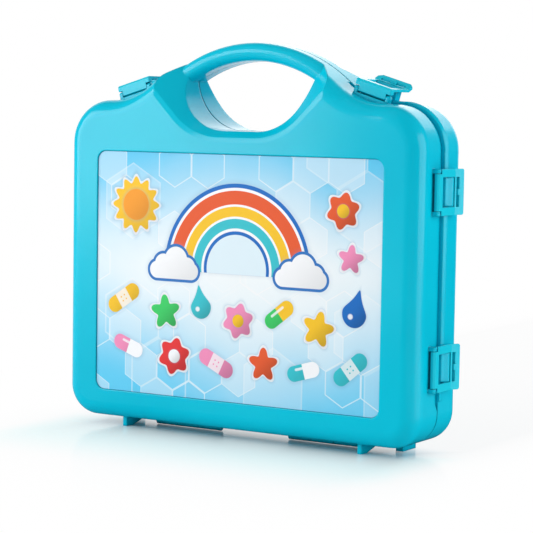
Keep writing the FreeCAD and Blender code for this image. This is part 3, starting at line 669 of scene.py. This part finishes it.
for side, hand in SIDES:
    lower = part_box(f"latch_{side}_lower")
    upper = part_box(f"latch_{side}_upper")
    runs = (flank_line(lower[1][2] - UNDER_LATCH, upper[0][2] + UNDER_LATCH),
            flank_line(upper[1][2] - UNDER_LATCH, None))
    strips = [wedge(f"bead_{side}_{place}", hand, run, WEDGE)
              for place, run in zip(("side", "corner"), runs)]
    print([(strip.name, len(strip.data.polygons)) for strip in strips])

# %% [markdown]
# ## Snap beads in the windows
#
# Each side latch snaps over a bead that fills the rear of its window. The solid has it with bevels.
# The moulded one runs up to its crest in one hollow curve, dark in front and light behind. It is
# the same job as the wedge with another profile, laid round the solid bead and clear of the window.

# %% Beads of the side latches
SNAP = np.array([(0.36, -0.5), (0.36, 1.2), (0.42, 1.5), (0.6, 1.62), (2.0, 2.1), (2.5, 2.32),
                 (3.0, 2.66), (4.6, 3.9), (5.0, 4.2), (5.3, 4.3), (6.1, 4.3), (6.5, 4.1),
                 (6.85, 3.5), (6.96, 2.8), (6.96, -0.4)]) / 1000.0
SNAP_HALF = 0.00875

for side, hand in SIDES:
    for level in ("upper", "lower"):
        low, high = np.array(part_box(f"latch_{side}_{level}"))
        middle = (low[2] + high[2]) / 2
        snap = wedge(f"latch_snap_{side}_{level}", hand,
                     flank_line(middle - SNAP_HALF, middle + SNAP_HALF), SNAP)
        print(snap.name, np.round(snap.dimensions[:], 4))

# %% [markdown]
# ## Seats under the raised latches
#
# On the shoulders the shell rises to each latch in a low lip, and behind the barrel it has a stop,
# so no light comes through between the skirt of the latch and the shell. Both belong to the same
# moulding, and small caps cover the ends of the pin. A superellipsoid makes all of them: with a
# low power it is a bar with rounded edges, with a higher one a button. They stay clear of the
# latch when that turns.

# %% A rounded bar along a leaning line
def rounded_bar(name, centre, axes, half, power=0.25):
    """Superellipsoid: centre + sum of axis * half * signed powers of cosines and sines.

    With s(a) = sign(a) |a|^power the factors are s(cos v) s(cos u), s(cos v) s(sin u) and s(sin v).
    """
    around, across = np.linspace(-np.pi, np.pi, 33), np.linspace(-0.5, 0.5, 25) * np.pi
    u, v = np.meshgrid(around, across)
    waves = (np.cos(v), np.cos(u), np.sin(u), np.sin(v))
    cos_v, cos_u, sin_u, sin_v = (np.sign(wave) * np.abs(wave) ** power for wave in waves)
    factors = np.stack([cos_v * cos_u, cos_v * sin_u, sin_v], axis=-1) * np.array(half)
    bar = grid_mesh(name, np.array(centre) + factors @ np.array(axes))
    close_up(bar)
    return bar


# %% Lips, stops and pin caps of the raised latches
LEAN = np.radians(16.5)
LIP_DROP, LIP_BEFORE, LIP_HALF = 0.0038, 0.0024, [0.0017, 0.00025, 0.0125]
STOP_DROP, STOP_BEHIND, STOP_HALF = 0.0024, 0.0026, [0.0013, 0.0002, 0.0099]
CAP_REACH, CAP_HALF, CAP_POWER = 0.0125, [0.0013, 0.0013, 0.0002], 0.8
REAR = np.array([0.0, 1.0, 0.0])

for side, hand in SIDES:
    low, high = np.array(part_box(f"latch_pin_top_{side}"))
    pin = (low + high) / 2
    outward = np.array([hand * np.sin(LEAN), 0.0, np.cos(LEAN)])
    along = np.array([np.cos(LEAN), 0.0, -hand * np.sin(LEAN)])
    axes = [outward, REAR, along]
    lip = pin - outward * LIP_DROP - REAR * LIP_BEFORE
    stop = pin - outward * STOP_DROP + REAR * STOP_BEHIND
    pieces = [
        rounded_bar(f"latch_seat_top_{side}", lip, axes, LIP_HALF),
        rounded_bar(f"latch_stop_top_{side}", stop, axes, STOP_HALF),
    ]
    for end, reach in (("inner", -hand), ("outer", hand)):
        pieces.append(rounded_bar(f"latch_cap_top_{side}_{end}", pin + along * reach * CAP_REACH,
                                  axes, CAP_HALF, CAP_POWER))
    for piece in pieces:
        piece.data.materials.append(shell_plastic)
        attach(piece, "front_half")
    print([piece.name for piece in pieces])

# %% [markdown]
# ## Floor
#
# The case stands on a white, polished table that runs into a white background. A large sheet does
# it, with a satin reflection. Lamps alone would leave it grey far away, so what the camera sees is
# mixed with plain white: none of it at the foot of the case, where the shadow and the mirror image
# are, more and more in front of it, and all of it further off.

# %% The table's finish
SCREEN = np.array([-0.367, 0.893, 0.263])
FOOT_HALF, FOOT_FRONT = 0.112, 0.015  # the case's foot: half its width, and its front edge
FALL, STEEPER_BESIDE = 22.0, 2.5  # how fast the white sets in, and how much faster at the sides
BEHIND, LEAST = 0.75, 0.24  # share of white behind the case, and the least that mirrors see
RAY_KINDS = ("Is Camera Ray", "Is Glossy Ray", "Is Transmission Ray")
PLAIN_WHITE = tone(255, 255, 255)


def white_table(name):
    """Satin white, mixed with plain white for the camera and for mirror rays.

    For the camera the share of white is 1 - exp(-FALL * reach), with the reach in metres from the
    foot of the case, and at least BEHIND behind it. In front of the case the white has a painted
    reflection: a faint teal tint of the plastic. Mirror rays find the white only towards the
    screen.
    Elsewhere they find the bare table at the right, and a card in front that is grey at the left
    and dark in the middle.
    """
    finish = Finish(name)
    x, y, _ = finish.add("ShaderNodeSeparateXYZ", {}, {0: finish.place()}, (0, 1, 2))
    distance = (x * x + y * y).root()
    away = distance.fade(0.05, 0.2)
    screen = ((x * SCREEN[0] + y * SCREEN[1]) / distance.most(0.01)).fade(0.7, 0.9)
    seen, mirrored, through = finish.add("ShaderNodeLightPath", {}, {}, RAY_KINDS)
    satin = finish.add("ShaderNodeBsdfPrincipled", {}, {
        "Base Color": tone(247, 248, 249), "Roughness": 0.12, "IOR": 1.45,
        "Specular IOR Level": 0.5})
    shade = finish.blend((-x).fade(0.06, 0.3), tone(46, 54, 58), tone(194, 202, 206))
    card = finish.add("ShaderNodeBsdfDiffuse", {}, {"Color": shade})
    beside = (abs(x) - FOOT_HALF).most(0.0) * STEEPER_BESIDE
    before = (-y - FOOT_FRONT).most(0.0)
    reach = (beside * beside + before * before).root()
    contact = (1.0 - (reach * -FALL).exponential()).most(y.fade(-0.01, 0.03) * BEHIND)
    plain = reach.fade(0.04, 0.13).most(beside.fade(0.02, 0.1)).most(y.fade(-0.02, 0.01))
    # Painted reflection: near the front of the case the plain white takes a faint teal tint of the
    # plastic.
    glow = finish.blend(plain, tone(237, 255, 255), PLAIN_WHITE)
    white = finish.add("ShaderNodeEmission", {}, {"Color": glow, "Strength": 1.0})
    bare = screen.most(x.fade(0.15, 0.3) * (0.3 - y).fade(0.0, 0.2))
    table = finish.add("ShaderNodeMixShader", {}, {0: mirrored * (1.0 - bare), 1: satin, 2: card})
    others = (mirrored * screen).most(through) * (away * (1.0 - LEAST) + LEAST)
    share = (seen * contact).most(others)
    shader = finish.add("ShaderNodeMixShader", {}, {0: share, 1: table, 2: white})
    return finish.surface(shader)


# %% The floor itself
FLOOR_HALF, FLOOR_LINES = 6.0, 5
lines = np.meshgrid(*[np.linspace(-FLOOR_HALF, FLOOR_HALF, FLOOR_LINES)] * 2)
floor = grid_mesh("floor", np.stack([*lines, np.zeros_like(lines[0])], axis=-1))
floor.data.materials.append(white_table("white_table"))
print("floor", floor.dimensions[:])

# %% [markdown]
# ## Light
#
# Toys are often photographed in front of a bright screen with large soft boxes at both sides and a
# dark room overhead. The box at the left front gives the pale sheen on the front, the one at the
# right gives the long stripe on the rounded edge, and the screen shows in all faces that look up
# and back. An even sky would wash the colour out, so mirror rays see white only where the screen
# is, and a dim grey towards the box at the left front.

# %% The sky
LEFT_FRONT = (-0.5, -0.86)
LEFT_GREY = 0.3


def studio_sky(fill, gloom):
    """World: white to the camera, the screen in mirrors, and a dimmer even fill for the rest.

    The screen is the cap of directions whose cosine with its axis is above about 0.8. Mirrors see
    the gloom elsewhere, brighter by LEFT_GREY in a sector round the compass direction LEFT_FRONT.
    """
    world = bpy.data.worlds.new("studio_sky")
    bpy.context.scene.world = world
    finish = Finish("studio_sky", world)
    seen, mirrored, through = finish.add("ShaderNodeLightPath", {}, {}, RAY_KINDS)
    toward = finish.add("ShaderNodeTexCoord", {}, {}, ("Generated",))
    along = finish.add("ShaderNodeVectorMath", {"operation": "DOT_PRODUCT"},
                       {0: toward, 1: SCREEN.tolist()}, ("Value",))
    screen = along.fade(0.7, 0.86)
    x, y, _ = finish.add("ShaderNodeSeparateXYZ", {}, {0: toward}, (0, 1, 2))
    front = (x * LEFT_FRONT[0] + y * LEFT_FRONT[1]) / (x * x + y * y).root().most(0.01)
    gloom = gloom + front.fade(0.82, 0.97) * LEFT_GREY
    level = fill + mirrored * (gloom - fill + screen * (1.0 - gloom))
    level = level.most(seen).most(through)
    light = finish.add("ShaderNodeBackground", {}, {"Color": PLAIN_WHITE, "Strength": level})
    finish.add("ShaderNodeOutputWorld", {}, {"Surface": light}, ())


# %% Soft boxes
def soft_lamp(name, spot, aim, size, glow):
    """Area lamp at a point, turned to face another; watts are glow * pi * area."""
    light = bpy.data.lights.new(name, "AREA")
    light.shape = "RECTANGLE"
    light.size, light.size_y = size
    light.energy = glow * np.pi * size[0] * size[1]
    lamp = bpy.data.objects.new(name, light)
    bpy.context.scene.collection.objects.link(lamp)
    lamp.matrix_world = view_matrix(np.array(spot), np.array(aim), 0.0)
    lamp.visible_camera = False
    return lamp


studio_sky(fill=0.45, gloom=0.1)
LAMPS = (  # name, spot, aim, size and glow
    ("lamp_left", (-1.2, -1.02, 0.52), (0.0, 0.0, 0.12), (1.3, 1.0), 4.6),
    ("lamp_right", (1.25, 0.1, 0.42), (0.05, 0.0, 0.12), (1.1, 1.0), 2.7),
    ("lamp_back", (-0.1, 1.05, 0.68), (0.0, 0.0, 0.15), (1.1, 0.6), 1.2),
)
lamps = [soft_lamp(*row) for row in LAMPS]
bpy.context.scene.view_settings.view_transform = "Standard"
print([(lamp.name, round(lamp.data.energy, 1)) for lamp in lamps])
